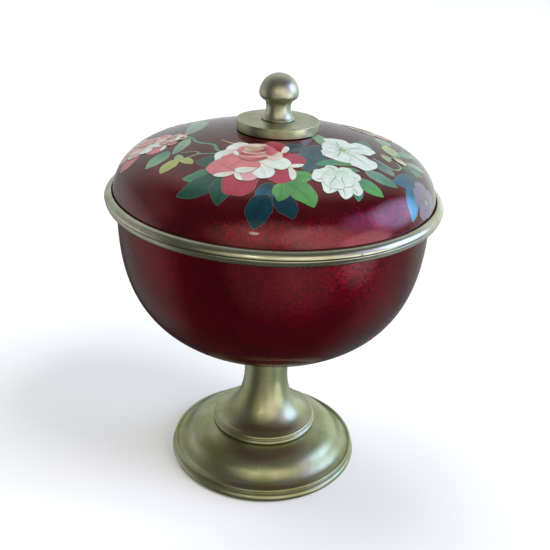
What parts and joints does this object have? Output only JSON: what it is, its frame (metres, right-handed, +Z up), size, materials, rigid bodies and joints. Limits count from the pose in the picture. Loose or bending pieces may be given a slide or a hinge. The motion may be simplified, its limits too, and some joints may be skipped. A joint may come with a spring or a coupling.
{
  "type": "lidded bowl",
  "caption": "Round enamelled bowl on a turned metal foot, with metal rims and a low domed lid that lifts off by a ball knob on a round plate.",
  "frame": {"origin": "centre of the foot's resting ring, on the surface that the bowl stands on", "axes": "+Z up along the turning axis; -Y towards the side of the lid that carries the large rose"},
  "size_m": [0.1406, 0.1406, 0.1785],
  "materials": {
    "silver_plate": "satin silver-coloured plating with a warm tarnish and fine turning lines",
    "red_enamel": "glossy see-through ruby enamel over crinkled foil on metal, with inlaid flowers on the lid"
  },
  "bodies": {
    "root": {"foot": "silver_plate", "bowl": "red_enamel", "bowl_rim": "silver_plate", "lid_rim": "silver_plate", "lid": "red_enamel", "knob_plate": "silver_plate", "knob": "silver_plate"}
  },
  "joints": []
}
